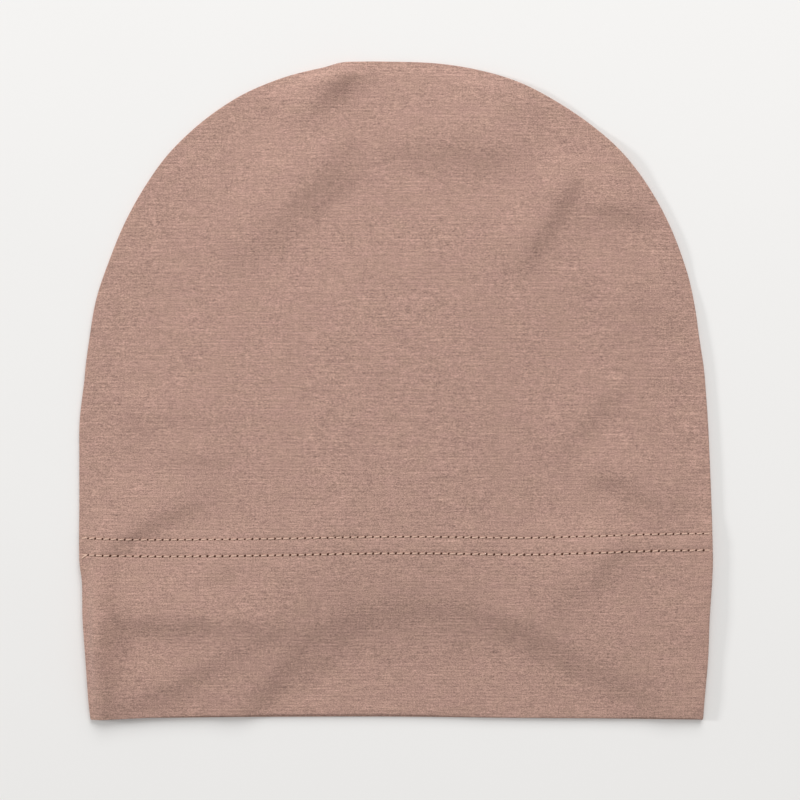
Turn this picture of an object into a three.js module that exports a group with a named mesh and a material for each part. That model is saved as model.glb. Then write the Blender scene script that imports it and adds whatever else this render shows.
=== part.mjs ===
// Underscarf cap of jersey knit, lying flat with its mouth towards -Y and its crown towards +Y.
// Millimetres, +Z up. The origin is the middle of the outline, on the surface that it lies on.
// Two panels of the same dome-shaped cut meet in a rolled seam along the sides and the crown.
// Each panel's lower end is folded to the inside and runs back up as the facing of a deep hem.
import * as THREE from "three";
import { mergeVertices } from "three/addons/utils/BufferGeometryUtils.js";

// Outline, seen from above
const CAP_WIDTH = 240;
const CAP_LENGTH = 250;
const CROWN_RISE = 121;

// Cloth and hem
const WALL = 1.0;
const HEM_DEPTH = 72;
const HEM_GAP = 0.2;
const FRONT_HEM_RISE = 1.7;
const BACK_HEM_RISE = 0.9;

// How the layers lie on each other. The front panel rises from the rolled edge to its full height
// over LOFT_REACH. The edge thins over EDGE_TAPER, centred on the end of the hem.
const SEAM_GAP = 0.3;
const EDGE_SLACK = 0.8;
const EDGE_TAPER = 50;
const HOLLOW_HEIGHT = 4.8;
const CROWN_FULLNESS = 0.5;
const LOFT_REACH = 55;
const FOLD_FADE = 14;

// Fineness of the mesh
const BODY_STEP = 9;
const CROWN_STEP_DEGREES = 5;
const ROLL_STEPS = 4;
const FRONT_RINGS = 9;
const BACK_RINGS = 4;
const FOLD_TURN_STEPS = 4;
const RING_CROWDING = 1.25;

const JOIN_DISTANCE = 1e-4;

const CLOTH_COLOUR = 0xaf8e82;
const CLOTH_ROUGHNESS = 0.9;

// Half widths of the body, as shares of half the cap's width. up is a share of the body's length,
// from the hem to the line where the crown begins.
const BODY_SECTIONS = [
  { up: 0.0, left: 0.965, right: 0.973 },
  { up: 0.06, left: 0.972, right: 0.978 },
  { up: 0.18, left: 0.981, right: 0.987 },
  { up: 0.3, left: 0.99, right: 0.994 },
  { up: 0.41, left: 0.992, right: 0.999 },
  { up: 0.47, left: 1.0, right: 1.0 },
  { up: 0.64, left: 1.0, right: 0.995 },
  { up: 0.76, left: 1.0, right: 0.989 },
  { up: 0.88, left: 0.999, right: 0.981 },
  { up: 1.0, left: 0.984, right: 0.972 },
];

// Reach of the crown's outline, as a share of an ellipse of half the cap's width and the crown's rise.
// angle is in degrees, from the left side over the top to the right side.
const CROWN_SECTIONS = [
  { angle: 0, reach: 0.984 },
  { angle: 7.5, reach: 0.977 },
  { angle: 15, reach: 0.982 },
  { angle: 22.5, reach: 0.983 },
  { angle: 30, reach: 0.991 },
  { angle: 37.5, reach: 1.001 },
  { angle: 45, reach: 1.012 },
  { angle: 60, reach: 1.019 },
  { angle: 67.5, reach: 1.016 },
  { angle: 75, reach: 1.01 },
  { angle: 90, reach: 1.0 },
  { angle: 97.5, reach: 1.0 },
  { angle: 105, reach: 1.004 },
  { angle: 112.5, reach: 1.011 },
  { angle: 135, reach: 1.01 },
  { angle: 142.5, reach: 0.999 },
  { angle: 150, reach: 0.99 },
  { angle: 157.5, reach: 0.98 },
  { angle: 165, reach: 0.966 },
  { angle: 172.5, reach: 0.961 },
  { angle: 180, reach: 0.972 },
];

// Soft folds of the front panel. Each crest runs through its route, whose points are shares of half
// the width (across) and of the length from the hem (up). Seen along the route it falls quickly on
// its right-hand side and slowly on its left. height is a share of the hollow's height, fall and
// slow are shares of half the width.
const FOLDS = [
  {
    name: "arch in the hem",
    route: [[-0.5, 0], [-0.34, 0.11], [-0.16, 0.17], [0.1, 0.2], [0.36, 0.165], [0.62, 0.1], [0.86, 0.02]],
    height: 0.25,
    fall: 0.11,
    slow: 0.28,
  },
  {
    name: "left end of the hem",
    route: [[-0.92, 0.15], [-0.7, 0.165], [-0.45, 0.155]],
    height: 0.14,
    fall: 0.07,
    slow: 0.14,
  },
  {
    name: "left corner of the mouth",
    route: [[-0.9, 0.035], [-0.65, 0.085], [-0.45, 0.14]],
    height: 0.12,
    fall: 0.06,
    slow: 0.12,
  },
  {
    name: "left end of the stitches",
    route: [[-0.98, 0.23], [-0.82, 0.29], [-0.6, 0.345]],
    height: 0.15,
    fall: 0.08,
    slow: 0.16,
  },
  {
    name: "top of the crown",
    route: [[-0.33, 0.92], [-0.22, 0.96], [-0.12, 1]],
    height: 0.15,
    fall: 0.05,
    slow: 0.1,
  },
  {
    name: "left of the crown",
    route: [[-0.55, 0.69], [-0.36, 0.79], [-0.2, 0.87]],
    height: 0.13,
    fall: 0.06,
    slow: 0.15,
  },
  {
    name: "across the crown",
    route: [[-0.1, 0.88], [0.12, 0.875], [0.38, 0.875]],
    height: 0.13,
    fall: 0.07,
    slow: 0.17,
  },
  {
    name: "right of the crown",
    route: [[0.36, 0.69], [0.46, 0.755], [0.55, 0.82]],
    height: 0.13,
    fall: 0.06,
    slow: 0.12,
  },
  {
    name: "right side",
    route: [[0.48, 0.42], [0.58, 0.465], [0.68, 0.51]],
    height: 0.1,
    fall: 0.06,
    slow: 0.12,
  },
];

const HALF_WIDTH = CAP_WIDTH / 2;
const HEM_Y = -CAP_LENGTH / 2;
const TOP_Y = CAP_LENGTH / 2;
const CROWN_Y = TOP_Y - CROWN_RISE;
const BODY_LENGTH = CROWN_Y - HEM_Y;
const HEM_STACK = 2 * WALL + HEM_GAP;
const HEM_EDGE_HEIGHT = 2 * HEM_STACK + EDGE_SLACK;
const CROWN_EDGE_HEIGHT = 2 * (WALL + EDGE_SLACK);
const FRONT_TOP = 2 * HEM_STACK + HOLLOW_HEIGHT;
const TURN_RADIUS = (WALL + HEM_GAP) / 2;

function clamp01(value) {
  return Math.min(1, Math.max(0, value));
}

function ease(value) {
  const t = clamp01(value);
  return t * t * (3 - 2 * t);
}

// Value of a table's column at a place between its rows, on a smooth curve through the rows.
function readTable(rows, placeColumn, column, place) {
  const last = rows.length - 1;
  let i = 0;
  while (i < last - 1 && place > rows[i + 1][placeColumn]) i += 1;
  const slopeAt = (j) => {
    const a = rows[Math.max(0, j - 1)];
    const b = rows[Math.min(last, j + 1)];
    return (b[column] - a[column]) / (b[placeColumn] - a[placeColumn]);
  };
  const span = rows[i + 1][placeColumn] - rows[i][placeColumn];
  const t = clamp01((place - rows[i][placeColumn]) / span);
  const rise = t * t * (3 - 2 * t);
  const start = t * (1 - t) * (1 - t) * span * slopeAt(i);
  const end = t * t * (t - 1) * span * slopeAt(i + 1);
  return rows[i][column] * (1 - rise) + rows[i + 1][column] * rise + start + end;
}

// A station is one ray from the cap's middle line, or from the crown's centre, to the outline.
function bodyStation(side, up, hemRise) {
  const share = readTable(BODY_SECTIONS, "up", side < 0 ? "left" : "right", up);
  return {
    centre: new THREE.Vector2(0, HEM_Y + up * BODY_LENGTH),
    edge: new THREE.Vector2(side * share * HALF_WIDTH, HEM_Y + up * BODY_LENGTH),
    lift: hemRise * (1 - ease((up * BODY_LENGTH) / HEM_DEPTH)),
    up: up * BODY_LENGTH,
  };
}

function crownStation(angle) {
  const reach = readTable(CROWN_SECTIONS, "angle", "reach", angle);
  const turn = THREE.MathUtils.degToRad(angle);
  const x = -Math.cos(turn) * reach * HALF_WIDTH;
  const y = CROWN_Y + Math.sin(turn) * reach * CROWN_RISE;
  return { centre: new THREE.Vector2(0, CROWN_Y), edge: new THREE.Vector2(x, y), lift: 0, up: y - HEM_Y };
}

// Stations from the left end of the hem, up the left side, over the crown and down the right side.
function outlineStations(hemRise) {
  const firstUp = (TURN_RADIUS + WALL / 2) / BODY_LENGTH;
  const facingUp = HEM_DEPTH / BODY_LENGTH;
  const hemSteps = Math.ceil(HEM_DEPTH / BODY_STEP);
  const bodySteps = Math.ceil((BODY_LENGTH - HEM_DEPTH) / BODY_STEP);
  const levels = [];
  for (let i = 0; i <= hemSteps; i += 1) levels.push(firstUp + ((facingUp - firstUp) * i) / hemSteps);
  for (let i = 1; i < bodySteps; i += 1) levels.push(facingUp + ((1 - facingUp) * i) / bodySteps);
  const left = levels.map((up) => bodyStation(-1, up, hemRise));
  const right = levels.map((up) => bodyStation(1, up, hemRise)).reverse();
  const crown = [];
  for (let angle = 0; angle <= 180; angle += CROWN_STEP_DEGREES) crown.push(crownStation(angle));
  return { stations: [...left, ...crown, ...right], facingRows: hemSteps + 1 };
}

// Height of the rolled edge: four walls in the hem, two in the crown.
function edgeHeight(up) {
  const share = ease((up - HEM_DEPTH) / EDGE_TAPER + 0.5);
  return HEM_EDGE_HEIGHT + (CROWN_EDGE_HEIGHT - HEM_EDGE_HEIGHT) * share;
}

// Radius of the rolled edge, at the middle of the cloth.
function rollRadius(up) {
  return edgeHeight(up) / 2 - SEAM_GAP / 2 - WALL / 2;
}

// Nearest place on a fold's route: how far away, on which side, and how far along the route.
function nearestOnRoute(route, x, y) {
  const points = route.map(([across, up]) => {
    return new THREE.Vector2(across * HALF_WIDTH, HEM_Y + up * CAP_LENGTH);
  });
  let nearest = { distance: Infinity, right: true, along: 0 };
  for (let i = 0; i < points.length - 1; i += 1) {
    const run = points[i + 1].clone().sub(points[i]);
    const offset = new THREE.Vector2(x, y).sub(points[i]);
    const t = clamp01(offset.dot(run) / run.lengthSq());
    const distance = offset.distanceTo(run.clone().multiplyScalar(t));
    const right = offset.cross(run) > 0;
    if (distance < nearest.distance) nearest = { distance, right, along: (i + t) / (points.length - 1) };
  }
  return nearest;
}

function foldHeight(x, y) {
  let total = 0;
  for (const fold of FOLDS) {
    const nearest = nearestOnRoute(fold.route, x, y);
    const width = (nearest.right ? fold.fall : fold.slow) * HALF_WIDTH;
    const crest = Math.exp(-((nearest.distance / width) ** 2));
    total += fold.height * HOLLOW_HEIGHT * crest * Math.sqrt(Math.sin(Math.PI * nearest.along));
  }
  return total;
}

// Middle of the cloth, at a distance in from the outline. layer is 1 for the front, -1 for the back.
function clothPoint(station, inward, layer) {
  const ray = station.edge.clone().sub(station.centre).normalize();
  const spot = station.edge.clone().addScaledVector(ray, -WALL / 2 - inward);
  const reach = station.edge.distanceTo(station.centre);
  const across = 1 - (inward + WALL / 2) / reach;
  const y = spot.y + station.lift * (1 - across * across);
  const height = edgeHeight(station.up);
  const roll = rollRadius(station.up);
  const rolled = Math.sqrt(1 - (1 - clamp01(inward / roll)) ** 2) * roll;
  if (layer < 0) return new THREE.Vector3(spot.x, y, height / 2 - SEAM_GAP / 2 - rolled);
  const share = 1 - (1 - clamp01(inward / LOFT_REACH)) ** 2;
  const fullness = CROWN_FULLNESS * ease((y - HEM_Y) / HEM_DEPTH) * ease((TOP_Y - y) / CROWN_RISE);
  const lofted = (FRONT_TOP + fullness - height) * share;
  const folded = foldHeight(spot.x, y) * ease(inward / FOLD_FADE);
  return new THREE.Vector3(spot.x, y, height / 2 + SEAM_GAP / 2 + rolled + lofted + folded);
}

// Distances in from the outline, close together round the roll and wider towards the middle.
function ringDistances(station, ringCount) {
  const roll = rollRadius(station.up);
  const reach = station.edge.distanceTo(station.centre) - WALL / 2;
  const distances = [];
  for (let i = 0; i < ROLL_STEPS; i += 1) {
    distances.push(roll * (1 - Math.cos((i * Math.PI) / 2 / ROLL_STEPS)));
  }
  for (let i = 0; i <= ringCount; i += 1) {
    distances.push(roll + (reach - roll) * (i / ringCount) ** RING_CROWDING);
  }
  return distances;
}

// Joins loose triangles at their shared points and drops those that a shared point leaves empty.
function joined(positions, index) {
  const loose = new THREE.BufferGeometry();
  loose.setAttribute("position", new THREE.Float32BufferAttribute(positions, 3));
  loose.setIndex(index);
  const geometry = mergeVertices(loose, JOIN_DISTANCE);
  const corners = geometry.index.array;
  const kept = [];
  for (let i = 0; i < corners.length; i += 3) {
    const [a, b, c] = [corners[i], corners[i + 1], corners[i + 2]];
    if (a !== b && b !== c && c !== a) kept.push(a, b, c);
  }
  geometry.setIndex(kept);
  return geometry;
}

// Two triangles for each square between neighbouring rows. A row that runs inwards from the seam
// faces up with facing 1 and down with facing -1.
function squaresBetween(rowCount, rowLength, facing) {
  const index = [];
  for (let r = 0; r < rowCount - 1; r += 1) {
    for (let c = 0; c < rowLength - 1; c += 1) {
      const a = r * rowLength + c;
      const b = a + rowLength;
      if (facing > 0) index.push(a, a + 1, b, a + 1, b + 1, b);
      else index.push(a, b, a + 1, a + 1, b, b + 1);
    }
  }
  return index;
}

function coordinates(rows) {
  return rows.flat().flatMap((point) => [point.x, point.y, point.z]);
}

// Outward normals of a sheet given as rows. The first point of a row is on the seam, where the cloth
// stands upright, so its normal is level.
function rowNormals(rows, layer) {
  const sheet = joined(coordinates(rows), squaresBetween(rows.length, rows[0].length, layer));
  sheet.computeVertexNormals();
  const places = sheet.attributes.position;
  const key = (x, y, z) => [x, y, z].map((value) => Math.round(value / JOIN_DISTANCE)).join(" ");
  const found = new Map();
  for (let i = 0; i < places.count; i += 1) {
    const normal = new THREE.Vector3().fromBufferAttribute(sheet.attributes.normal, i);
    found.set(key(places.getX(i), places.getY(i), places.getZ(i)), normal);
  }
  const float = Math.fround;
  return rows.map((row) => row.map((point, c) => {
    const normal = found.get(key(float(point.x), float(point.y), float(point.z))).clone();
    return c === 0 ? normal.setZ(0).normalize() : normal;
  }));
}

// Gives a sheet its wall, half on each side. Each row becomes a loop that runs from the middle line
// to the seam on the outside and back on the inside; the raw edges of the facing close the ends.
function thickened(rows, layer) {
  const normals = rowNormals(rows, layer);
  const moved = (r, c, distance) => rows[r][c].clone().addScaledVector(normals[r][c], distance);
  const loops = rows.map((row, r) => {
    const outside = row.map((point, c) => moved(r, c, WALL / 2));
    const inside = row.map((point, c) => moved(r, c, -WALL / 2));
    return [...outside.reverse(), ...inside];
  });
  const positions = coordinates(loops);
  const loopLength = loops[0].length;
  const index = squaresBetween(loops.length, loopLength, -layer);
  const lastLoop = (loops.length - 1) * loopLength;
  for (let c = 0; c < loopLength / 2 - 1; c += 1) {
    const across = loopLength - 1 - c;
    const start = [c, c + 1, across, c + 1, across - 1, across];
    const end = start.map((corner) => lastLoop + corner).reverse();
    index.push(...(layer > 0 ? start : start.reverse()), ...(layer > 0 ? end : end.reverse()));
  }
  return joined(positions, index);
}

// One row of the fold at the mouth, turned about a line half a stack inside the outer row.
function turnedRow(row, normals, turn) {
  const mouthward = new THREE.Vector3(0, -1, 0);
  return row.map((point, c) => {
    const turned = point.clone().addScaledVector(normals[c], -TURN_RADIUS * (1 - Math.cos(turn)));
    return turned.addScaledVector(mouthward, TURN_RADIUS * Math.sin(turn));
  });
}

// From the mouth inwards: the turn of the fold, then the facing, one stack inside the outer rows.
function foldedInside(outerRows, normals, facingRows) {
  const rows = [];
  for (let i = 1; i <= FOLD_TURN_STEPS; i += 1) {
    rows.push(turnedRow(outerRows[0], normals[0], (i * Math.PI) / FOLD_TURN_STEPS));
  }
  for (let r = 1; r < facingRows; r += 1) {
    rows.push(outerRows[r].map((point, c) => {
      return point.clone().addScaledVector(normals[r][c], -WALL - HEM_GAP);
    }));
  }
  return rows;
}

// A whole panel: the facing and fold on the left, the outer layer round the crown, and on the right.
function panelGeometry(layer, hemRise, ringCount) {
  const { stations, facingRows } = outlineStations(hemRise);
  const outerRows = stations.map((station) => {
    return ringDistances(station, ringCount).map((inward) => clothPoint(station, inward, layer));
  });
  const normals = rowNormals(outerRows, layer);
  const left = foldedInside(outerRows, normals, facingRows).reverse();
  const right = foldedInside([...outerRows].reverse(), [...normals].reverse(), facingRows);
  return thickened([...left, ...outerRows, ...right], layer);
}

function clothPiece(name, geometry) {
  const material = new THREE.MeshStandardMaterial({
    color: CLOTH_COLOUR,
    roughness: CLOTH_ROUGHNESS,
    metalness: 0,
  });
  const mesh = new THREE.Mesh(geometry, material);
  mesh.name = name;
  return mesh;
}

const group = new THREE.Group();
group.name = "underscarf_cap";
group.add(clothPiece("front_panel", panelGeometry(1, FRONT_HEM_RISE, FRONT_RINGS)));
group.add(clothPiece("back_panel", panelGeometry(-1, BACK_HEM_RISE, BACK_RINGS)));

export default group;
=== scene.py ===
import math

import bmesh
import bpy
import numpy as np
from mathutils import Euler, Matrix, Vector


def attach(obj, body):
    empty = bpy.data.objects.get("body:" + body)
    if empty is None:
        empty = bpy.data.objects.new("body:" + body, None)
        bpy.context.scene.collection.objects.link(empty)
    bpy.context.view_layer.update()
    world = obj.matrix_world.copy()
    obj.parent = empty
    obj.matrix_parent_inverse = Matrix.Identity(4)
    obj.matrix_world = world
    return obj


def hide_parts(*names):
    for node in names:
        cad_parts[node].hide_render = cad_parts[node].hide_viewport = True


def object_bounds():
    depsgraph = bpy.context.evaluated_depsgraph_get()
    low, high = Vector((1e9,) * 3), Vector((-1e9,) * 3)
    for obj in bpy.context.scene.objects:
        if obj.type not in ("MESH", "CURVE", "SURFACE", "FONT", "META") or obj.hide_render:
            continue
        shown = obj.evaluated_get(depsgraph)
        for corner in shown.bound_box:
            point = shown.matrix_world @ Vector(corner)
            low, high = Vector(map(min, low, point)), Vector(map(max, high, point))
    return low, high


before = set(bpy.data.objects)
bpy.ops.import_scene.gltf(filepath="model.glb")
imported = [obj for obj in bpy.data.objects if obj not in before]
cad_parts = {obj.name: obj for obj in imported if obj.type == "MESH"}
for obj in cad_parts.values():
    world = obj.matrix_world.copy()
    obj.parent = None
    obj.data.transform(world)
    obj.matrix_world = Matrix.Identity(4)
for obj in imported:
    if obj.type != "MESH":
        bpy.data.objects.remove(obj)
cad_low, cad_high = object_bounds()

# Metres throughout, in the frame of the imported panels.
MM = 0.001

# Outline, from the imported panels
HALF_WIDTH = (cad_high.x - cad_low.x) / 2
MIDDLE_X = (cad_high.x + cad_low.x) / 2
LENGTH = cad_high.y - cad_low.y
MOUTH_IN = 0.3 * MM
CROWN_RISE_SHARE = 0.484
HEM_Y = cad_low.y + MOUTH_IN
TOP_Y = cad_high.y
CROWN_RISE = CROWN_RISE_SHARE * LENGTH
CROWN_Y = TOP_Y - CROWN_RISE
BODY_LENGTH = CROWN_Y - HEM_Y

# Cloth
WALL = 0.38 * MM
HEM_DEPTH = 72 * MM
HEM_GAP = 0.06 * MM
TURN_RADIUS = (WALL + HEM_GAP) / 2
SEAM_GAP = 0.06 * MM
SEAM_TUCK = 0.5 * MM
SEAM_TUCK_REACH = 0.25
OUTLINE_EASE = 0.26 * MM

# Lie of the layers
CROWN_EDGE_HEIGHT = 2.2 * MM
HEM_EDGE_HEIGHT = 3.3 * MM
EDGE_TAPER = 14 * MM
EDGE_WAVE_REACH = 12 * MM
MOUTH_TOP = 1.8 * MM
HEM_TOP = 8.4 * MM
CROWN_TOP = 8.9 * MM
CROWN_TOP_REACH = 60 * MM
MOUTH_SAG_LENGTH = 74 * MM
LOFT_REACH = 112 * MM
LOFT_POWER = 1.25
LOFT_SOFT_START = 0.75
LOFT_EDGE_FADE = 8 * MM
FOLD_FADE = 6 * MM
FOLD_NEAR = 12 * MM
DROP_WIDTH = 1.6
FRONT_LOWEST = 1.6 * MM
FRONT_LOWEST_SOFTNESS = 0.25 * MM
FRONT_LOWEST_FADE = 10 * MM

# Small unevenness of the cloth
RIPPLE_HEIGHT = 0.035 * MM
RIPPLE_GAIN = 2
RIPPLE_COUNT = 40
RIPPLE_SHORTEST = 9 * MM
RIPPLE_LONGEST = 26 * MM
RIPPLE_SEED = 11

# Stitch rows of the hem. The pitch and the distance between the rows are the machine's.
STITCH_PITCH = 2.83 * MM
UPPER_ROW_UP = 69.4 * MM
LOWER_ROW_UP = 63.1 * MM
ROW_GROOVE = 0.22 * MM
ROW_GROOVE_WIDTH = 0.9 * MM
ROW_WAVE_REACH = 26 * MM
THREAD_LENGTH = 2.3 * MM
THREAD_WIDTH = 0.5 * MM
# Needle holes are shown by dark lenses of painted shade, of these sizes.
HOLE_WIDTH = 0.84 * MM
HOLE_HEIGHT = 1.1 * MM
HOLE_THICKNESS = 0.1 * MM
FRONT_THREAD_PROUD = 0.06 * MM
BACK_THREAD_PROUD = -0.10 * MM
HOLE_PROUD = 0.03 * MM
STITCH_TURN, STITCH_TURN_SPREAD = 0.10, 0.05
HOLE_TURN, HOLE_TURN_SPREAD = 1.05, 0.12
STITCH_SIZES = (0.92, 1.06)
HOLE_SIZES = (0.88, 1.12)
UPPER_HOLE_SIZE, LOWER_HOLE_SIZE = 0.85, 1.0
REPEAT_SPREAD = 0.05
END_STITCH_IN = 1.9 * MM
END_STITCH_DOWN = 0.6 * MM
END_STITCH_TURN = 0.6
END_STITCH_SIZE = 1.3
STITCH_SEED = 5

# Half widths of the body, as shares of half the cap's width, and heights of its side edges, as
# shares of the usual edge height. up is a share of the body's length.
BODY_SECTIONS = [
    {"up": 0.0, "left": 0.965, "right": 0.966, "left_height": 0.50, "right_height": 0.80},
    {"up": 0.06, "left": 0.972, "right": 0.971, "left_height": 0.78, "right_height": 0.96},
    {"up": 0.18, "left": 0.981, "right": 0.982, "left_height": 0.90, "right_height": 0.90},
    {"up": 0.30, "left": 0.990, "right": 0.987, "left_height": 0.90, "right_height": 1.10},
    {"up": 0.41, "left": 0.992, "right": 0.995, "left_height": 0.85, "right_height": 1.00},
    {"up": 0.47, "left": 1.000, "right": 0.997, "left_height": 0.80, "right_height": 1.00},
    {"up": 0.64, "left": 1.000, "right": 0.992, "left_height": 0.80, "right_height": 1.05},
    {"up": 0.76, "left": 1.000, "right": 0.987, "left_height": 0.80, "right_height": 1.05},
    {"up": 0.88, "left": 0.999, "right": 0.981, "left_height": 0.80, "right_height": 1.00},
    {"up": 1.0, "left": 0.984, "right": 0.972, "left_height": 0.80, "right_height": 0.95},
]

# Reach of the crown's outline, as a share of an ellipse, and height of its edge, as a share of the
# usual edge height. angle is in degrees from the left side.
CROWN_SECTIONS = [
    {"angle": 0, "reach": 0.984, "height": 0.80},
    {"angle": 7.5, "reach": 0.977, "height": 0.80},
    {"angle": 15, "reach": 0.980, "height": 0.80},
    {"angle": 22.5, "reach": 0.980, "height": 0.80},
    {"angle": 30, "reach": 0.988, "height": 0.80},
    {"angle": 37.5, "reach": 0.998, "height": 0.80},
    {"angle": 45, "reach": 1.009, "height": 0.80},
    {"angle": 60, "reach": 1.016, "height": 0.80},
    {"angle": 67.5, "reach": 1.012, "height": 0.80},
    {"angle": 72, "reach": 1.008, "height": 1.05},
    {"angle": 75, "reach": 1.005, "height": 1.40},
    {"angle": 77, "reach": 1.004, "height": 1.50},
    {"angle": 80, "reach": 1.008, "height": 1.35},
    {"angle": 84, "reach": 1.001, "height": 0.95},
    {"angle": 90, "reach": 0.995, "height": 0.80},
    {"angle": 97.5, "reach": 0.998, "height": 0.80},
    {"angle": 105, "reach": 1.003, "height": 0.95},
    {"angle": 112.5, "reach": 1.008, "height": 1.15},
    {"angle": 120, "reach": 1.006, "height": 0.95},
    {"angle": 127.5, "reach": 1.006, "height": 0.60},
    {"angle": 135, "reach": 1.006, "height": 1.40},
    {"angle": 142.5, "reach": 0.998, "height": 0.92},
    {"angle": 150, "reach": 0.988, "height": 0.85},
    {"angle": 155, "reach": 0.981, "height": 0.85},
    {"angle": 161, "reach": 0.974, "height": 0.55},
    {"angle": 167, "reach": 0.967, "height": 0.80},
    {"angle": 172.5, "reach": 0.963, "height": 0.95},
    {"angle": 180, "reach": 0.972, "height": 0.95},
]

# How far the stitch rows lie above (+) or below (-) their level, across the cap.
ROW_WAVES = [
    {"across": -1.0, "rise": -0.4 * MM},
    {"across": -0.78, "rise": -1.0 * MM},
    {"across": -0.6, "rise": -0.8 * MM},
    {"across": -0.4, "rise": -0.4 * MM},
    {"across": -0.1, "rise": 0.4 * MM},
    {"across": 0.1, "rise": 0.5 * MM},
    {"across": 0.4, "rise": 0.0 * MM},
    {"across": 0.6, "rise": 0.6 * MM},
    {"across": 0.8, "rise": 1.1 * MM},
    {"across": 1.0, "rise": 1.4 * MM},
]

# How far the mouth of each layer curves up from a straight line, across the cap.
MOUTH_WAVES = [
    {"across": -1.0, "front": 0.0, "back": 0.0},
    {"across": -0.85, "front": 0.7 * MM, "back": 0.6 * MM},
    {"across": -0.7, "front": 1.5 * MM, "back": 0.85 * MM},
    {"across": -0.4, "front": 2.0 * MM, "back": 1.2 * MM},
    {"across": -0.05, "front": 2.1 * MM, "back": 1.3 * MM},
    {"across": 0.15, "front": 1.7 * MM, "back": 1.1 * MM},
    {"across": 0.3, "front": 1.1 * MM, "back": 0.85 * MM},
    {"across": 0.6, "front": 0.8 * MM, "back": 0.6 * MM},
    {"across": 0.8, "front": 1.0 * MM, "back": 0.35 * MM},
    {"across": 0.93, "front": 0.75 * MM, "back": 0.15 * MM},
    {"across": 1.0, "front": 0.0, "back": 0.0},
]

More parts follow.
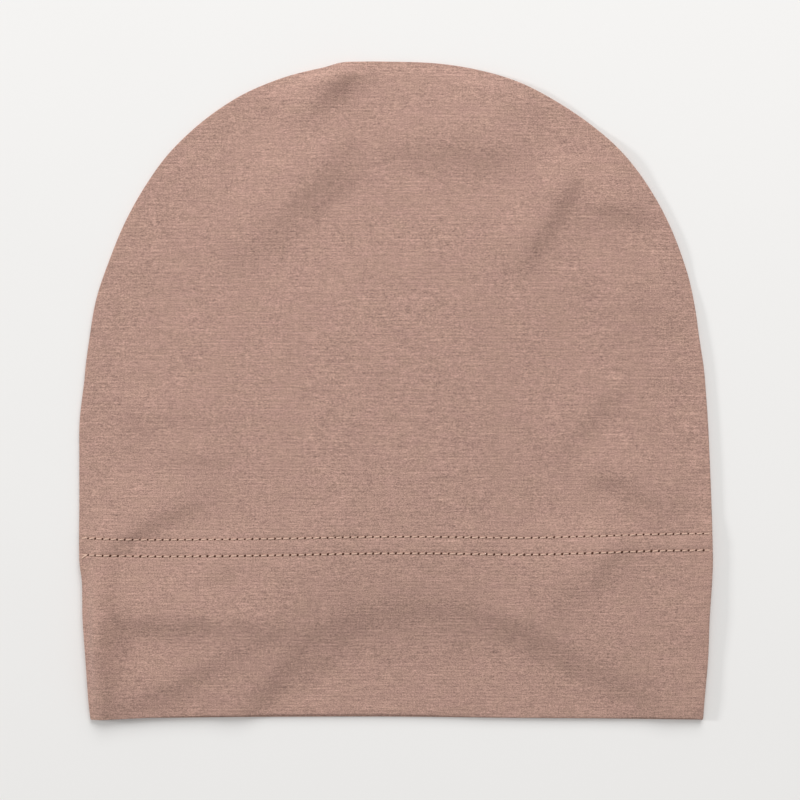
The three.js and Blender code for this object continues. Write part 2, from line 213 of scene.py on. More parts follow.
# Soft folds of the front panel. A point of a route is a share of half the width (across), a share of
# the length from the hem (up) and the fold's strength there. Seen along the route the cloth falls
# quickly on the right-hand side, over fall, and slowly on the left, over slow. drop is how much lower
# the whole right-hand side stays.
FOLDS = [
    {
        "name": "arch in the hem",
        "route": [(-0.56, -0.01, 0.0), (-0.446, 0.055, 0.9), (-0.352, 0.108, 0.95), (-0.273, 0.150, 0.8),
                  (-0.18, 0.176, 0.5), (-0.09, 0.189, 0.33), (0.105, 0.202, 0.25), (0.265, 0.184, 0.5),
                  (0.408, 0.158, 1.15), (0.505, 0.132, 1.1), (0.66, 0.092, 0.8), (0.79, 0.06, 0.5),
                  (0.90, 0.025, 0.0)],
        "height": 2.3 * MM, "fall": 8.8 * MM, "slow": 24 * MM, "drop": 1.5 * MM,
    },
    {
        "name": "left end of the hem",
        "route": [(-0.95, 0.171, 0.0), (-0.84, 0.165, 0.7), (-0.70, 0.162, 1.0), (-0.52, 0.163, 0.8),
                  (-0.38, 0.161, 0.5), (-0.27, 0.155, 0.0)],
        "height": 3.5 * MM, "fall": 7.2 * MM, "slow": 17 * MM, "drop": 0,
    },
    {
        "name": "left corner of the mouth",
        "route": [(-0.93, 0.01, 0.0), (-0.82, 0.040, 1.0), (-0.70, 0.066, 1.0), (-0.56, 0.103, 0.8),
                  (-0.443, 0.132, 0.5), (-0.34, 0.149, 0.0)],
        "height": 1.9 * MM, "fall": 5.5 * MM, "slow": 13 * MM, "drop": 0,
    },
    {
        "name": "left side of the hem",
        "route": [(-0.944, -0.04, 0.0), (-0.943, 0.04, 0.7), (-0.941, 0.10, 1.1), (-0.939, 0.17, 0.95),
                  (-0.937, 0.22, 0.6), (-0.935, 0.27, 0.0)],
        "height": 5.0 * MM, "fall": 6.2 * MM, "slow": 4.5 * MM, "drop": 0,
    },
    {
        "name": "left end of the stitches",
        "route": [(-0.97, 0.245, 0.0), (-0.90, 0.273, 0.7), (-0.81, 0.299, 1.0), (-0.73, 0.318, 0.9),
                  (-0.64, 0.338, 0.5), (-0.53, 0.357, 0.0)],
        "height": 2.6 * MM, "fall": 5 * MM, "slow": 15 * MM, "drop": 0,
    },
    {
        "name": "top of the crown",
        "route": [(-0.35, 0.89, 0.0), (-0.295, 0.92, 0.8), (-0.245, 0.949, 1.0), (-0.195, 0.973, 1.0),
                  (-0.15, 0.993, 0.8), (-0.11, 1.015, 0.0)],
        "height": 3.3 * MM, "fall": 6.5 * MM, "slow": 12 * MM, "drop": 0,
    },
    {
        "name": "left of the crown",
        "route": [(-0.58, 0.685, 0.0), (-0.48, 0.729, 0.5), (-0.36, 0.782, 0.75), (-0.25, 0.836, 1.05),
                  (-0.185, 0.87, 0.8), (-0.11, 0.905, 0.0)],
        "height": 4.0 * MM, "fall": 8 * MM, "slow": 18 * MM, "drop": 0,
    },
    {
        "name": "beside the left of the crown",
        "route": [(-0.43, 0.69, 0.0), (-0.33, 0.742, 0.7), (-0.22, 0.797, 1.0), (-0.13, 0.832, 0.9),
                  (-0.05, 0.87, 0.0)],
        "height": 0.9 * MM, "fall": 4 * MM, "slow": 6 * MM, "drop": 0,
    },
    {
        "name": "across the crown",
        "route": [(-0.08, 0.863, 0.0), (0.0, 0.877, 0.7), (0.136, 0.884, 0.9), (0.30, 0.875, 1.0),
                  (0.39, 0.868, 0.6), (0.46, 0.86, 0.0)],
        "height": 3.2 * MM, "fall": 9.5 * MM, "slow": 26 * MM, "drop": 0,
    },
    {
        "name": "right of the crown",
        "route": [(0.34, 0.67, 0.0), (0.40, 0.712, 0.6), (0.476, 0.772, 0.9), (0.523, 0.808, 1.0),
                  (0.58, 0.85, 0.0)],
        "height": 3.3 * MM, "fall": 6 * MM, "slow": 16 * MM, "drop": 0,
    },
    {
        "name": "upper right side",
        "route": [(0.57, 0.79, 0.0), (0.66, 0.785, 1.0), (0.75, 0.777, 1.0), (0.85, 0.765, 0.0)],
        "height": 2.0 * MM, "fall": 5 * MM, "slow": 12 * MM, "drop": 0,
    },
    {
        "name": "middle right side",
        "route": [(0.64, 0.632, 0.0), (0.74, 0.640, 1.0), (0.85, 0.636, 1.0), (0.95, 0.62, 0.0)],
        "height": 1.1 * MM, "fall": 7 * MM, "slow": 14 * MM, "drop": 0,
    },
    {
        "name": "right side",
        "route": [(0.46, 0.39, 0.0), (0.53, 0.43, 0.8), (0.60, 0.468, 1.0), (0.66, 0.497, 0.7),
                  (0.73, 0.53, 0.0)],
        "height": 1.4 * MM, "fall": 5 * MM, "slow": 13 * MM, "drop": 0,
    },
    {
        "name": "right end above the stitches",
        "route": [(0.55, 0.362, 0.0), (0.63, 0.376, 0.7), (0.70, 0.372, 1.0), (0.77, 0.351, 1.0),
                  (0.83, 0.32, 0.7), (0.88, 0.28, 0.0)],
        "height": 2.3 * MM, "fall": 5 * MM, "slow": 12 * MM, "drop": 0,
    },
    {
        "name": "right end of the hem",
        "route": [(0.45, 0.165, 0.0), (0.53, 0.205, 0.8), (0.60, 0.235, 1.0), (0.68, 0.27, 0.9),
                  (0.76, 0.30, 0.0)],
        "height": 2.3 * MM, "fall": 7.5 * MM, "slow": 16 * MM, "drop": 0,
    },
    {
        "name": "right part of the hem",
        "route": [(0.66, -0.02, 0.0), (0.69, 0.06, 0.8), (0.70, 0.14, 1.0), (0.71, 0.21, 0.8),
                  (0.72, 0.28, 0.0)],
        "height": 1.2 * MM, "fall": 15 * MM, "slow": 26 * MM, "drop": 0,
    },
    {
        "name": "beside the left foot of the arch",
        "route": [(-0.34, 0.02, 0.0), (-0.30, 0.055, 0.8), (-0.25, 0.088, 1.0), (-0.19, 0.118, 0.7),
                  (-0.12, 0.14, 0.0)],
        "height": 0.9 * MM, "fall": 4 * MM, "slow": 5 * MM, "drop": 0,
    },
    {
        "name": "left of the middle of the hem",
        "route": [(-0.66, 0.218, 0.0), (-0.58, 0.228, 1.0), (-0.50, 0.238, 0.8), (-0.43, 0.245, 0.0)],
        "height": 0.9 * MM, "fall": 4.5 * MM, "slow": 9 * MM, "drop": 0,
    },
    {
        "name": "left side of the body, upper",
        "route": [(-0.90, 0.462, 0.0), (-0.80, 0.467, 1.0), (-0.62, 0.467, 1.0), (-0.46, 0.461, 0.0)],
        "height": 1.0 * MM, "fall": 5 * MM, "slow": 13 * MM, "drop": 0,
    },
    {
        "name": "left side of the body, lower",
        "route": [(-0.78, 0.402, 0.0), (-0.70, 0.407, 1.0), (-0.58, 0.406, 1.0), (-0.48, 0.40, 0.0)],
        "height": 1.0 * MM, "fall": 5 * MM, "slow": 11 * MM, "drop": 0,
    },
]

# Knit. A wave texture of this scale repeats once in each unit of length.
COURSE_PITCH = 1.3 * MM
ONE_WAVE = math.pi / 10

# Mesh fineness
BODY_STEP = 1.6 * MM
CROWN_STATIONS = 170
ROLL_ANGLES = (0, 9, 20, 33, 47, 62, 76, 90)
INNER_RINGS = 68
RING_CROWDING = 1.1
TURN_STEPS = 6
FACING_STEP = 4 * MM
JOIN_DISTANCE = 1e-6
ROW_CLEAR = 2.4 * MM
ROW_LINE_START = 0.15 * MM
ROW_LINE_POINTS = 900
TILT_STEP = 0.3 * MM
HEADING_STEP = 0.4 * MM
THREAD_SIDES = 7
HOLE_SIDES = 6

# Camera and light, set against the photo
PHOTO_WIDTH = 800
PHOTO_SCALE = 0.3780 * MM
PHOTO_CENTRE = (396.8, 390.6)
AIM_HEIGHT = 1.5 * MM
CAMERA_LENS = 85
CAMERA_SENSOR = 36
FLOOR_LEVEL = -0.02 * MM
FLOOR_HALF = 1.5
SKY_STRENGTH = 0.483


def ease(value):
    t = np.clip(value, 0, 1)
    return t * t * (3 - 2 * t)


def read_table(rows, place_column, column, place):
    """A column's values at places between the rows, on a smooth curve through them."""
    at = np.array([row[place_column] for row in rows], float)
    values = np.array([row[column] for row in rows], float)
    slopes = np.empty_like(values)
    slopes[1:-1] = (values[2:] - values[:-2]) / (at[2:] - at[:-2])
    slopes[0] = (values[1] - values[0]) / (at[1] - at[0])
    slopes[-1] = (values[-1] - values[-2]) / (at[-1] - at[-2])
    place = np.clip(np.asarray(place, float), at[0], at[-1])
    i = np.clip(np.searchsorted(at, place, side="right") - 1, 0, len(at) - 2)
    span = at[i + 1] - at[i]
    t = (place - at[i]) / span
    rise = t * t * (3 - 2 * t)
    start = t * (1 - t) ** 2 * span * slopes[i]
    end = t * t * (t - 1) * span * slopes[i + 1]
    return values[i] * (1 - rise) + values[i + 1] * rise + start + end


def usual_edge_height(up):
    share = ease((up - HEM_DEPTH) / EDGE_TAPER + 0.5)
    return HEM_EDGE_HEIGHT + (CROWN_EDGE_HEIGHT - HEM_EDGE_HEIGHT) * share


def body_stations(levels, side):
    """Places on one side's outline, at levels above the hem."""
    name = "left" if side < 0 else "right"
    share = read_table(BODY_SECTIONS, "up", name, levels / BODY_LENGTH)
    height = read_table(BODY_SECTIONS, "up", name + "_height", levels / BODY_LENGTH)
    return {
        "x": MIDDLE_X + side * share * HALF_WIDTH,
        "y": HEM_Y + levels,
        "centre_y": HEM_Y + levels,
        "height": height * usual_edge_height(levels),
        "mouth_share": 1 - ease(levels / HEM_DEPTH),
    }


def crown_stations():
    """Places on the crown's outline, from the left side over the top to the right side."""
    degrees = np.linspace(0, 180, CROWN_STATIONS + 1)
    angles = np.radians(degrees)
    reach = read_table(CROWN_SECTIONS, "angle", "reach", degrees)
    y = CROWN_Y + np.sin(angles) * reach * CROWN_RISE
    return {
        "x": MIDDLE_X - np.cos(angles) * reach * HALF_WIDTH,
        "y": y,
        "centre_y": np.full(len(angles), CROWN_Y),
        "height": read_table(CROWN_SECTIONS, "angle", "height", degrees) * usual_edge_height(y - HEM_Y),
        "mouth_share": np.zeros(len(angles)),
    }


def smooth_route(points, steps=5):
    """A fold's route in metres and its strength, on a smooth curve through its few points."""
    fine = np.linspace(0, len(points) - 1, (len(points) - 1) * steps + 1)
    rows = [
        {"at": i, "x": MIDDLE_X + across * HALF_WIDTH, "y": HEM_Y + up * LENGTH, "strength": strength}
        for i, (across, up, strength) in enumerate(points)
    ]
    return [read_table(rows, "at", column, fine) for column in ("x", "y", "strength")]


def nearest_on_route(route, x, y):
    """Distance to a route, whether a place is on its right-hand side, and the strength there."""
    best = np.full(x.shape, np.inf)
    right = np.zeros(x.shape, bool)
    strength = np.zeros(x.shape)
    rx, ry, route_strength = route
    for i in range(len(rx) - 1):
        dx, dy = rx[i + 1] - rx[i], ry[i + 1] - ry[i]
        ox, oy = x - rx[i], y - ry[i]
        t = np.clip((ox * dx + oy * dy) / (dx * dx + dy * dy), 0, 1)
        distance = np.hypot(ox - t * dx, oy - t * dy)
        nearer = distance < best
        best = np.where(nearer, distance, best)
        right = np.where(nearer, ox * dy - oy * dx > 0, right)
        here = route_strength[i] + (route_strength[i + 1] - route_strength[i]) * t
        strength = np.where(nearer, here, strength)
    return best, right, strength


def fold_height(x, y):
    total = np.zeros(x.shape)
    for fold in FOLDS:
        distance, right, strength = nearest_on_route(smooth_route(fold["route"]), x, y)
        width = np.where(right, fold["fall"], fold["slow"])
        total += fold["height"] * strength * np.exp(-((distance / width) ** 2))
        if fold["drop"]:
            near = 1 + (strength - 1) * np.exp(-((distance / FOLD_NEAR) ** 2))
            total -= fold["drop"] * near * np.where(right, ease(distance / (DROP_WIDTH * fold["fall"])), 0)
    return total


def make_ripples():
    draw = np.random.default_rng(RIPPLE_SEED)
    length = np.exp(draw.uniform(math.log(RIPPLE_SHORTEST), math.log(RIPPLE_LONGEST), RIPPLE_COUNT))
    heading = draw.uniform(0, math.pi, RIPPLE_COUNT)
    start = draw.uniform(0, 2 * math.pi, RIPPLE_COUNT)
    return 2 * math.pi / length * np.cos(heading), 2 * math.pi / length * np.sin(heading), start


RIPPLES = make_ripples()


def ripple_height(x, y):
    total = np.zeros(x.shape)
    for wave_x, wave_y, start in zip(*RIPPLES):
        total += np.cos(x * wave_x + y * wave_y + start) * 2 * math.pi / math.hypot(wave_x, wave_y)
    return total / RIPPLE_LONGEST * RIPPLE_HEIGHT * math.sqrt(2 / RIPPLE_COUNT) * RIPPLE_GAIN


def groove_depth(level):
    """The stitches pull the cloth in along both rows."""
    depth = 0
    for row_up in (UPPER_ROW_UP, LOWER_ROW_UP):
        depth = depth + ROW_GROOVE * np.exp(-(((level - row_up) / ROW_GROOVE_WIDTH) ** 2))
    return depth


def front_loft(x, y, inward, height, level):
    """How much higher than its rolled edge the front panel lies."""
    usual = usual_edge_height(level)
    top = MOUTH_TOP + (HEM_TOP - MOUTH_TOP) * ease(level / MOUTH_SAG_LENGTH)
    top = top + (CROWN_TOP - HEM_TOP) * ease((level - HEM_DEPTH) / CROWN_TOP_REACH + 0.5)
    reached = np.clip(inward / LOFT_REACH, 0, 1)
    share = (1 - (1 - reached) ** LOFT_POWER) * (1 - LOFT_SOFT_START) + ease(reached) * LOFT_SOFT_START
    share = share * ease(inward / LOFT_EDGE_FADE) ** 0.5
    levelled = (usual - height) * (1 - np.exp(-inward / EDGE_WAVE_REACH))
    uneven = (fold_height(x, y) + ripple_height(x, y)) * ease(inward / FOLD_FADE)
    return (top - usual) * share + levelled + uneven


def cloth_points(layer, station, inward):
    """Middle of the cloth, for stations (one row each) and distances in from the outline (columns)."""
    edge_x, edge_y, centre_y, height, mouth_share = (
        station[key][:, None] for key in ("x", "y", "centre_y", "height", "mouth_share")
    )
    ray_x, ray_y = edge_x - MIDDLE_X, edge_y - centre_y
    reach = np.hypot(ray_x, ray_y)
    ray_x, ray_y = ray_x / reach, ray_y / reach
    roll = height / 2 - SEAM_GAP / 2 - WALL / 2
    tuck = SEAM_TUCK * np.exp(-((inward / (SEAM_TUCK_REACH * roll)) ** 2))
    edge_share = np.clip(1 - inward / reach, 0, 1)
    away = inward + tuck + (WALL / 2 - OUTLINE_EASE) * edge_share
    x = edge_x - ray_x * away
    y = edge_y - ray_y * away
    level = edge_y - HEM_Y
    on_body = np.clip(1 - np.abs(ray_y) * 1e6, 0, 1)
    near_rows = ease(1 - np.abs(level - (UPPER_ROW_UP + LOWER_ROW_UP) / 2) / ROW_WAVE_REACH) * on_body
    across = (x - MIDDLE_X) / HALF_WIDTH
    y = y + mouth_share * read_table(MOUTH_WAVES, "across", "front" if layer > 0 else "back", across)
    y = y + near_rows * read_table(ROW_WAVES, "across", "rise", across)
    rolled = np.sqrt(np.clip(1 - (1 - np.clip(inward / roll, 0, 1)) ** 2, 0, 1)) * roll
    seam = height / 2 + layer * SEAM_GAP / 2
    groove = groove_depth(level) * on_body * ease(inward / roll)
    if layer > 0:
        z = seam + rolled + front_loft(x, y, inward, height, y - HEM_Y)
        raised = FRONT_LOWEST_SOFTNESS * np.logaddexp(0, (z - FRONT_LOWEST) / FRONT_LOWEST_SOFTNESS)
        inside = ease((inward - roll) / FRONT_LOWEST_FADE)
        z = z + (FRONT_LOWEST + raised - z) * inside - groove
    else:
        z = seam - rolled + groove
    return np.stack([x, y, z], axis=-1)


def body_levels():
    """Levels of the body's rows above the hem, closer together along the stitch rows."""
    first = TURN_RADIUS + WALL / 2
    levels = list(np.arange(first, BODY_LENGTH - BODY_STEP / 2, BODY_STEP))
    for row_up in (UPPER_ROW_UP, LOWER_ROW_UP):
        levels = [v for v in levels if abs(v - row_up) > ROW_CLEAR]
        levels += [row_up + k * ROW_GROOVE_WIDTH / 2 for k in range(-5, 6)]
    levels.append(HEM_DEPTH)
    return np.array(sorted(set(np.round(levels, 7))))


def panel_rows(layer):
    """Rows of the outer sheet: up the left side, round the crown, down the right side."""
    levels = body_levels()
    parts = [
        body_stations(levels, -1),
        crown_stations(),
        {key: values[::-1] for key, values in body_stations(levels, 1).items()},
    ]
    station = {key: np.concatenate([part[key] for part in parts]) for key in parts[0]}
    roll = station["height"] / 2 - SEAM_GAP / 2 - WALL / 2
    reach = np.hypot(station["x"] - MIDDLE_X, station["y"] - station["centre_y"])
    turn = np.radians(np.array(ROLL_ANGLES))[None, :]
    in_roll = roll[:, None] * (1 - np.cos(turn))
    share = (np.arange(1, INNER_RINGS + 1) / INNER_RINGS)[None, :] ** RING_CROWDING
    inner = roll[:, None] + (reach - roll)[:, None] * share
    return cloth_points(layer, station, np.concatenate([in_roll, inner], axis=1)), levels


def sheet_normals(rows, layer):
    """Outward normals of a sheet of rows; the first column is the seam, the last the middle line."""
    row_to_row = np.gradient(rows, axis=0)
    at_pole = np.linalg.norm(row_to_row, axis=-1) < JOIN_DISTANCE
    normals = np.cross(row_to_row, np.gradient(rows, axis=1))
    normals = normals / np.maximum(np.linalg.norm(normals, axis=-1, keepdims=True), 1e-15)
    normals *= layer * np.sign(normals[len(rows) // 2, normals.shape[1] // 2, 2])
    normals[at_pole] = (0, 0, layer)
    normals[:, -1] += normals[::-1, -1]
    normals[:, 0, 2] = 0
    return normals / np.maximum(np.linalg.norm(normals, axis=-1, keepdims=True), 1e-9)


def folded_inside(outer, normals, levels):
    """The turn at the mouth and the facing that runs back up inside, from the mouth inwards."""
    rows = []
    mouthward = np.array([0, -1.0, 0])
    for i in range(1, TURN_STEPS + 1):
        turn = math.pi * i / TURN_STEPS
        inside = outer[0] - normals[0] * TURN_RADIUS * (1 - math.cos(turn))
        rows.append(inside + mouthward * TURN_RADIUS * math.sin(turn))
    last = 0.0
    for row, normal, level in zip(outer, normals, levels):
        if level > HEM_DEPTH + JOIN_DISTANCE:
            break
        if level - last >= FACING_STEP or level > HEM_DEPTH - JOIN_DISTANCE:
            rows.append(row - normal * (WALL + HEM_GAP))
            last = level
    return rows


def closed_cloth(name, rows, normals):
    """A sheet of rows made into cloth of one wall thickness, closed along the seam and the raw edges."""
    loops = np.concatenate([(rows + normals * WALL / 2)[:, ::-1], rows - normals * WALL / 2], axis=1)
    row_count, loop_length = loops.shape[:2]
    index = np.arange(row_count * loop_length).reshape(row_count, loop_length)
    squares = np.stack([index[:-1, :-1], index[:-1, 1:], index[1:, 1:], index[1:, :-1]], axis=-1)
    faces = squares.reshape(-1, 4).tolist()
    half = loop_length // 2
    for row in (index[0], index[-1]):
        for k in range(half - 1):
            faces.append([int(row[i]) for i in (k, k + 1, loop_length - 2 - k, loop_length - 1 - k)])
    mesh = bpy.data.meshes.new(name)
    mesh.from_pydata(loops.reshape(-1, 3).tolist(), [], faces)
    work = bmesh.new()
    work.from_mesh(mesh)
    bmesh.ops.remove_doubles(work, verts=work.verts, dist=JOIN_DISTANCE)
    bmesh.ops.dissolve_degenerate(work, dist=JOIN_DISTANCE / 10, edges=work.edges)
    bmesh.ops.recalc_face_normals(work, faces=work.faces)
    for face in work.faces:
        face.smooth = True
    work.to_mesh(mesh)
    work.free()
    piece = bpy.data.objects.new(name, mesh)
    bpy.context.scene.collection.objects.link(piece)
    return piece


def make_panel(name, layer):
    outer, levels = panel_rows(layer)
    normals = sheet_normals(outer, layer)
    left = folded_inside(outer, normals, levels)[::-1]
    right = folded_inside(outer[::-1], normals[::-1], levels)
    rows = np.concatenate([np.array(left), outer, np.array(right)])
    return closed_cloth(name, rows, sheet_normals(rows, layer))


front = make_panel("front_cloth", 1)
back = make_panel("back_cloth", -1)


class Nodes:
    """Short calls for the shader nodes of one material."""

    def __init__(self, name):
        self.material = bpy.data.materials.new(name)
        self.material.use_nodes = True
        self.tree = self.material.node_tree
        self.shader = self.tree.nodes["Principled BSDF"]
        self.place = self.tree.nodes.new("ShaderNodeTexCoord").outputs["Object"]

    def add(self, kind, inputs, **settings):
        node = self.tree.nodes.new(kind)
        for key, value in settings.items():
            setattr(node, key, value)
        for key, value in inputs.items():
            self.feed(value, node.inputs[key])
        return node

    def feed(self, value, socket):
        if isinstance(value, bpy.types.NodeSocket):
            self.tree.links.new(value, socket)
        else:
            socket.default_value = value

    def noise(self, size, detail=1.0, rough=0.5, shift=0.0):
        """Noise from about -1 to 1, of a grain size given in mm along X, Y and Z."""
        stretch = [1 / (s * MM) for s in size]
        moved = self.add(
            "ShaderNodeMapping", {"Vector": self.place, "Location": (shift,) * 3, "Scale": stretch}
        )
        noise = self.add(
            "ShaderNodeTexNoise",
            {"Vector": moved.outputs[0], "Scale": 1.0, "Detail": detail, "Roughness": rough},
        )
        return self.math("MULTIPLY_ADD", noise.outputs["Fac"], 2.0, -1.0)

    def courses(self, pitch):
        """Uneven rows across the cloth, from -1 to 1, a pitch apart."""
        stretch = (1 / (6 * pitch), 1 / pitch, 1 / pitch)
        moved = self.add("ShaderNodeMapping", {"Vector": self.place, "Scale": stretch})
        wave = self.add(
            "ShaderNodeTexWave",
            {
                "Vector": moved.outputs[0], "Scale": ONE_WAVE, "Distortion": 2.5,
                "Detail": 1.0, "Detail Scale": 2.0,
            },
            bands_direction="Y",
        )
        return self.math("MULTIPLY_ADD", wave.outputs["Fac"], 2.0, -1.0)

    def math(self, operation, *values):
        return self.add("ShaderNodeMath", dict(enumerate(values)), operation=operation).outputs[0]

    def weighed(self, *pairs):
        """Sum of values, each times its weight."""
        total = 0.0
        for value, weight in pairs:
            total = self.math("MULTIPLY_ADD", value, weight, total)
        return total

    def blend(self, share, first, second):
        """A colour between two colours."""
        node = self.add("ShaderNodeMix", {"Factor": share}, data_type="RGBA")
        colours = [socket for socket in node.inputs if socket.type == "RGBA"]
        for socket, colour in zip(colours, (first, second)):
            self.feed((*colour, 1), socket)
        return [socket for socket in node.outputs if socket.type == "RGBA"][0]

    def colour(self, colour, tone):
        """Gives the shader a colour times a tone."""
        toned = self.add("ShaderNodeVectorMath", {0: colour, "Scale": tone}, operation="SCALE")
        self.tree.links.new(toned.outputs[0], self.shader.inputs["Base Color"])

    def finish(self, roughness, specular):
        self.shader.inputs["Roughness"].default_value = roughness
        self.shader.inputs["Specular IOR Level"].default_value = specular
        return self.material


def jersey_material():
    n = Nodes("jersey_mauve")
    streaks = n.noise((2.6, 0.5, 6), detail=2.0, rough=0.6)
    grain = n.noise((0.5, 0.3, 2), shift=7.3)
    courses = n.courses(COURSE_PITCH)
    long_streaks = n.noise((13, 0.5, 8), shift=3.1)
    slubs = n.math("MAXIMUM", n.math("SUBTRACT", long_streaks, 0.12), 0.0)
    wales = n.noise((0.42, 6, 4), shift=5.7)
    broad = n.noise((26, 16, 20), detail=2.0, shift=1.9)
    tone = n.weighed(
        (streaks, 0.40), (grain, 0.78), (slubs, 0.50), (wales, 0.10), (courses, 0.05), (broad, 0.02)
    )
    hue = n.math("MULTIPLY_ADD", n.noise((9, 5, 20), detail=2.0, rough=0.6, shift=4.4), 0.6, 0.5)
    mauve, ochre = (0.449, 0.274, 0.231), (0.439, 0.281, 0.221)
    n.colour(n.blend(hue, mauve, ochre), n.math("ADD", tone, 0.966))
    relief = n.weighed((streaks, 0.6), (grain, 0.5), (wales, 0.25))
    bump = n.add("ShaderNodeBump", {"Height": relief, "Distance": 0.12 * MM, "Strength": 0.5})
    n.tree.links.new(bump.outputs[0], n.shader.inputs["Normal"])
    n.shader.inputs["Sheen Weight"].default_value = 0.08
    n.shader.inputs["Sheen Roughness"].default_value = 0.6
    return n.finish(roughness=0.9, specular=0.15)


def thread_material():
    n = Nodes("hem_thread_beige")
    twist = n.noise((0.35, 0.35, 0.35))
    n.colour((0.65, 0.445, 0.35), n.math("MULTIPLY_ADD", twist, 0.3, 1.0))
    return n.finish(roughness=0.6, specular=0.3)


# Painted shade: the needle-hole lenses get a near-black colour that stands in for the shade inside each hole.
def painted_hole_shade_material():
    n = Nodes("needle_hole_painted_shade")
    uneven = n.noise((0.6, 0.6, 0.6))
    n.colour((0.085, 0.038, 0.026), n.math("MULTIPLY_ADD", uneven, 0.4, 1.0))
    return n.finish(roughness=1.0, specular=0.0)


JERSEY = jersey_material()
THREAD = thread_material()
HOLE_SHADE = painted_hole_shade_material()

for panel, node in ((front, "front_panel"), (back, "back_panel")):
    panel.data.materials.append(JERSEY)
    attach(panel, "root")
    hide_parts(node)


def tube_piece(name, sections, sides):
    """A closed tube along X through sections of (x, z, half width, half height)."""
    mesh = bpy.data.meshes.new(name)
    points = []
    for x, z, wide, high in sections:
        for k in range(sides):
            a = 2 * math.pi * k / sides
            points.append((x, wide * math.cos(a), z + high * math.sin(a)))
    faces = []
    for i in range(len(sections) - 1):
        for k in range(sides):
            a, b = i * sides + k, i * sides + (k + 1) % sides
            faces.append((a, a + sides, b + sides, b))
    faces.append(tuple(range(sides)))
    faces.append(tuple(reversed(range(len(points) - sides, len(points)))))
    mesh.from_pydata(points, [], faces)
    for polygon in mesh.polygons:
        polygon.use_smooth = True
    mesh.update()
    return bpy.data.objects.new(name, mesh)


def thread_piece():
    """One stitch: thread that comes out of one needle hole and goes down into the next."""
    half, radius = THREAD_LENGTH / 2, THREAD_WIDTH / 2
    shape = [
        (-1.0, -0.9, 0.45), (-0.86, -0.1, 0.85), (-0.5, 0.32, 1.0), (0.0, 0.45, 1.0),
        (0.5, 0.32, 1.0), (0.86, -0.1, 0.85), (1.0, -0.9, 0.45),
    ]
    sections = [(x * half, z * radius, r * radius, r * radius * 0.8) for x, z, r in shape]
    return tube_piece("stitch", sections, THREAD_SIDES)


def hole_shade_piece():
    """A shallow lens painted dark for the shade in the mouth of one needle hole."""
    shape = [(-1.0, 0.12), (-0.7, 0.72), (-0.25, 1.0), (0.25, 1.0), (0.7, 0.72), (1.0, 0.12)]
    sections = [(x * HOLE_HEIGHT / 2, 0, r * HOLE_WIDTH / 2, r * HOLE_THICKNESS) for x, r in shape]
    return tube_piece("needle_hole", sections, HOLE_SIDES)


def repeat_tree():
    """Node tree that sets one piece at every point, turned and sized by the point's own values."""
    tree = bpy.data.node_groups.new("repeat_along_row", "GeometryNodeTree")
    for name, kind in (
        ("Geometry", "NodeSocketGeometry"),
        ("Piece", "NodeSocketObject"),
        ("Material", "NodeSocketMaterial"),
        ("Turn Spread", "NodeSocketFloat"),
        ("Size Spread", "NodeSocketFloat"),
        ("Seed", "NodeSocketInt"),
    ):
        tree.interface.new_socket(name, in_out="INPUT", socket_type=kind)
    tree.interface.new_socket("Geometry", in_out="OUTPUT", socket_type="NodeSocketGeometry")
    link = tree.links.new

    def make(kind, **settings):
        node = tree.nodes.new(kind)
        for key, value in settings.items():
            setattr(node, key, value)
        return node

    given, result = make("NodeGroupInput"), make("NodeGroupOutput")
    piece = make("GeometryNodeObjectInfo")
    link(given.outputs["Piece"], piece.inputs["Object"])
    turn = make("GeometryNodeInputNamedAttribute", data_type="FLOAT_VECTOR")
    turn.inputs["Name"].default_value = "turn"
    spread = make("FunctionNodeRandomValue", data_type="FLOAT")
    spread.inputs[2].default_value = -1.0
    spread.inputs[3].default_value = 1.0
    link(given.outputs["Seed"], spread.inputs["Seed"])
    sideways = make("ShaderNodeMath", operation="MULTIPLY")
    link(spread.outputs[1], sideways.inputs[0])
    link(given.outputs["Turn Spread"], sideways.inputs[1])
    about_z = make("ShaderNodeCombineXYZ")
    link(sideways.outputs[0], about_z.inputs["Z"])
    turned = make("ShaderNodeVectorMath", operation="ADD")
    link(turn.outputs["Attribute"], turned.inputs[0])
    link(about_z.outputs[0], turned.inputs[1])
    rotation = make("FunctionNodeEulerToRotation")
    link(turned.outputs[0], rotation.inputs[0])
    size = make("ShaderNodeMath", operation="MULTIPLY_ADD")
    link(spread.outputs[1], size.inputs[0])
    link(given.outputs["Size Spread"], size.inputs[1])
    size.inputs[2].default_value = 1.0
    own = make("GeometryNodeInputNamedAttribute", data_type="FLOAT")
    own.inputs["Name"].default_value = "size"
    sized = make("ShaderNodeMath", operation="MULTIPLY")
    link(size.outputs[0], sized.inputs[0])
    link(own.outputs["Attribute"], sized.inputs[1])
    copies = make("GeometryNodeInstanceOnPoints")
    link(given.outputs["Geometry"], copies.inputs["Points"])
    link(piece.outputs["Geometry"], copies.inputs["Instance"])
    link(rotation.outputs[0], copies.inputs["Rotation"])
    link(sized.outputs[0], copies.inputs["Scale"])
    realize = make("GeometryNodeRealizeInstances")
    link(copies.outputs[0], realize.inputs[0])
    dressed = make("GeometryNodeSetMaterial")
    link(realize.outputs[0], dressed.inputs["Geometry"])
    link(given.outputs["Material"], dressed.inputs["Material"])
    link(dressed.outputs[0], result.inputs[0])
    return tree


REPEAT = repeat_tree()


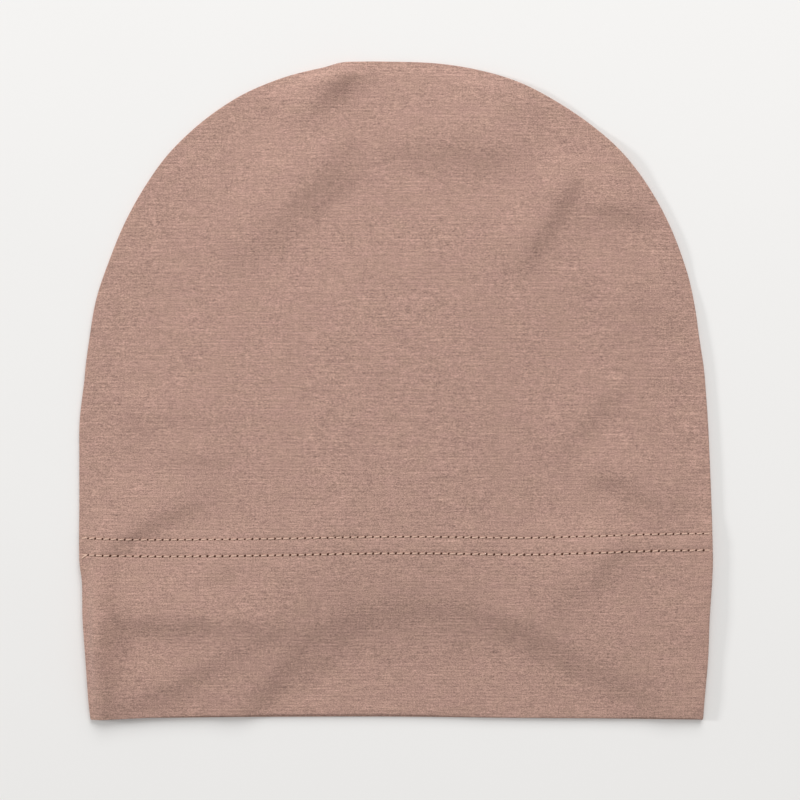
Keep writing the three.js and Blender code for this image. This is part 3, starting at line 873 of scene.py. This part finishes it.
def repeated(name, piece, points, turns, sizes, material, spread):
    """One object with a copy of the piece at every point."""
    mesh = bpy.data.meshes.new(name)
    mesh.from_pydata([tuple(p) for p in points], [], [])
    attribute = mesh.attributes.new("turn", "FLOAT_VECTOR", "POINT")
    attribute.data.foreach_set("vector", np.array(turns, float).ravel())
    attribute = mesh.attributes.new("size", "FLOAT", "POINT")
    attribute.data.foreach_set("value", np.array(sizes, float))
    row = bpy.data.objects.new(name, mesh)
    bpy.context.scene.collection.objects.link(row)
    modifier = row.modifiers.new("repeat", "NODES")
    modifier.node_group = REPEAT
    values = {
        "Piece": piece, "Material": material, "Turn Spread": spread, "Size Spread": spread,
        "Seed": STITCH_SEED,
    }
    for socket in REPEAT.interface.items_tree:
        if socket.in_out == "INPUT" and socket.name in values:
            modifier[socket.identifier] = values[socket.name]
    bpy.context.view_layer.update()
    result = bpy.data.meshes.new_from_object(row.evaluated_get(bpy.context.evaluated_depsgraph_get()))
    row.modifiers.remove(modifier)
    row.data = result
    result.name = name
    return row


def row_line(layer, level):
    """Middle of the cloth along one level, from the left edge to the right one."""
    halves = []
    for side in (-1, 1):
        station = body_stations(np.array([level]), side)
        reach = abs(station["x"][0] - MIDDLE_X)
        inward = np.linspace(ROW_LINE_START, reach, ROW_LINE_POINTS)[None, :]
        halves.append(cloth_points(layer, station, inward)[0])
    return np.concatenate([halves[0], halves[1][::-1]])


def places_on_row(layer, row_up, x, proud):
    """Points proud of the cloth's outer face on a stitch row, and how the cloth lies there."""
    below, line, above = (row_line(layer, row_up + shift) for shift in (-TILT_STEP, 0, TILT_STEP))

    def read(source, shift, column):
        return np.interp(x + shift, source[:, 0], source[:, column])

    step = HEADING_STEP
    heading = np.arctan2(read(line, step, 1) - read(line, -step, 1), 2 * step)
    pitch = -np.arctan2(read(line, step, 2) - read(line, -step, 2), 2 * step)
    tilt = np.arctan2(read(above, 0, 2) - read(below, 0, 2), read(above, 0, 1) - read(below, 0, 1))
    points = np.stack([x, read(line, 0, 1), read(line, 0, 2) + layer * (WALL / 2 + proud)], axis=-1)
    return points, tilt, pitch, heading


def turned_flat(layer, tilt, pitch, spin):
    """Turns that lay a piece flat on the cloth, turned by spin about the cloth's normal."""
    turns = []
    for about_x, about_y, about_normal in zip(tilt, pitch, spin):
        lying = Euler((about_x, about_y, 0)).to_matrix() @ Matrix.Rotation(about_normal, 3, "Z")
        if layer < 0:
            lying = lying @ Matrix.Rotation(math.pi, 3, "X")
        turns.append(tuple(lying.to_euler()))
    return np.array(turns)


def add_stitches(side_name, layer):
    """Both stitch rows of one panel, with dark lenses of painted shade at their needle holes."""
    draw = np.random.default_rng(STITCH_SEED + layer)
    thread_proud = FRONT_THREAD_PROUD if layer > 0 else BACK_THREAD_PROUD
    threads, holes = [], []
    for row_up, hole_size in ((UPPER_ROW_UP, UPPER_HOLE_SIZE), (LOWER_ROW_UP, LOWER_HOLE_SIZE)):
        line = row_line(layer, row_up)
        first, last = line[0, 0], line[-1, 0]
        count = int((last - first) / STITCH_PITCH)
        x = (first + last) / 2 + (np.arange(count) - (count - 1) / 2) * STITCH_PITCH
        points, tilt, pitch, heading = places_on_row(layer, row_up, x, thread_proud)
        turns = turned_flat(layer, tilt, pitch, heading + draw.normal(STITCH_TURN, STITCH_TURN_SPREAD, count))
        threads.append((points, turns, draw.uniform(*STITCH_SIZES, count)))
        points, tilt, pitch, heading = places_on_row(layer, row_up, x[:-1] + STITCH_PITCH / 2, HOLE_PROUD)
        spin = heading + draw.normal(HOLE_TURN, HOLE_TURN_SPREAD, count - 1)
        turns = turned_flat(layer, tilt, pitch, spin)
        holes.append((points, turns, hole_size * draw.uniform(*HOLE_SIZES, count - 1)))
    if layer > 0:
        end_x = np.array([first + END_STITCH_IN])
        end_up = LOWER_ROW_UP - END_STITCH_DOWN
        points, tilt, pitch, heading = places_on_row(layer, end_up, end_x, thread_proud)
        turns = turned_flat(layer, tilt, pitch, heading + END_STITCH_TURN)
        threads.append((points, turns, np.array([END_STITCH_SIZE])))
    pieces = []
    for kind, shape, material, rows, slot in (
        ("stitches", thread_piece(), THREAD, threads, "hem_thread"),
        # The needle holes are shown by dark lenses of painted shade, not by openings in the cloth.
        ("needle_holes", hole_shade_piece(), HOLE_SHADE, holes, "jersey"),
    ):
        points, turns, sizes = (np.concatenate([row[k] for row in rows]) for k in range(3))
        piece = repeated(f"{side_name}_{kind}", shape, points, turns, sizes, material, REPEAT_SPREAD)
        bpy.data.objects.remove(shape)
        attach(piece, "root")
        pieces.append(piece)
    return pieces


front_rows = add_stitches("front", 1)
back_rows = add_stitches("back", -1)


def make_floor():
    mesh = bpy.data.meshes.new("floor")
    corners = [(x * FLOOR_HALF, y * FLOOR_HALF, 0) for x, y in ((-1, -1), (1, -1), (1, 1), (-1, 1))]
    mesh.from_pydata(corners, [], [(0, 1, 2, 3)])
    floor = bpy.data.objects.new("floor", mesh)
    bpy.context.scene.collection.objects.link(floor)
    floor.location.z = FLOOR_LEVEL
    n = Nodes("pale_table")
    uneven = n.noise((60, 60, 60), detail=2.0)
    n.colour((0.868, 0.860, 0.850), n.math("MULTIPLY_ADD", uneven, 0.006, 1.0))
    floor.data.materials.append(n.finish(roughness=0.8, specular=0.1))


def make_camera():
    data = bpy.data.cameras.new("camera")
    data.lens = CAMERA_LENS
    data.sensor_width = CAMERA_SENSOR
    camera = bpy.data.objects.new("camera", data)
    bpy.context.scene.collection.objects.link(camera)
    distance = PHOTO_WIDTH * PHOTO_SCALE * CAMERA_LENS / CAMERA_SENSOR
    x = (PHOTO_WIDTH / 2 - PHOTO_CENTRE[0]) * PHOTO_SCALE
    y = (PHOTO_CENTRE[1] - PHOTO_WIDTH / 2) * PHOTO_SCALE
    camera.location = (x, y, distance + AIM_HEIGHT)
    data.clip_start = 0.01
    data.clip_end = 100
    bpy.context.scene.camera = camera


def area_light(name, azimuth, elevation, distance, size, power):
    """A soft square light. azimuth is in degrees from +X towards +Y, as seen from above."""
    data = bpy.data.lights.new(name, "AREA")
    data.shape = "SQUARE"
    data.size = size
    data.energy = power
    light = bpy.data.objects.new(name, data)
    bpy.context.scene.collection.objects.link(light)
    a, e = math.radians(azimuth), math.radians(elevation)
    direction = Vector((math.cos(a) * math.cos(e), math.sin(a) * math.cos(e), math.sin(e)))
    light.location = direction * distance
    light.rotation_euler = direction.to_track_quat("Z", "Y").to_euler()


def make_light():
    area_light("key", azimuth=172, elevation=22, distance=5.0, size=0.70, power=83)
    area_light("top", azimuth=80, elevation=38, distance=2.1, size=1.5, power=32)
    world = bpy.data.worlds.new("studio")
    world.use_nodes = True
    background = world.node_tree.nodes["Background"]
    background.inputs["Color"].default_value = (1, 0.995, 0.985, 1)
    background.inputs["Strength"].default_value = SKY_STRENGTH
    bpy.context.scene.world = world


def set_tones():
    """Plain display of the colours, without a film look."""
    bpy.context.scene.view_settings.view_transform = "Standard"


make_floor()
make_camera()
make_light()
set_tones()
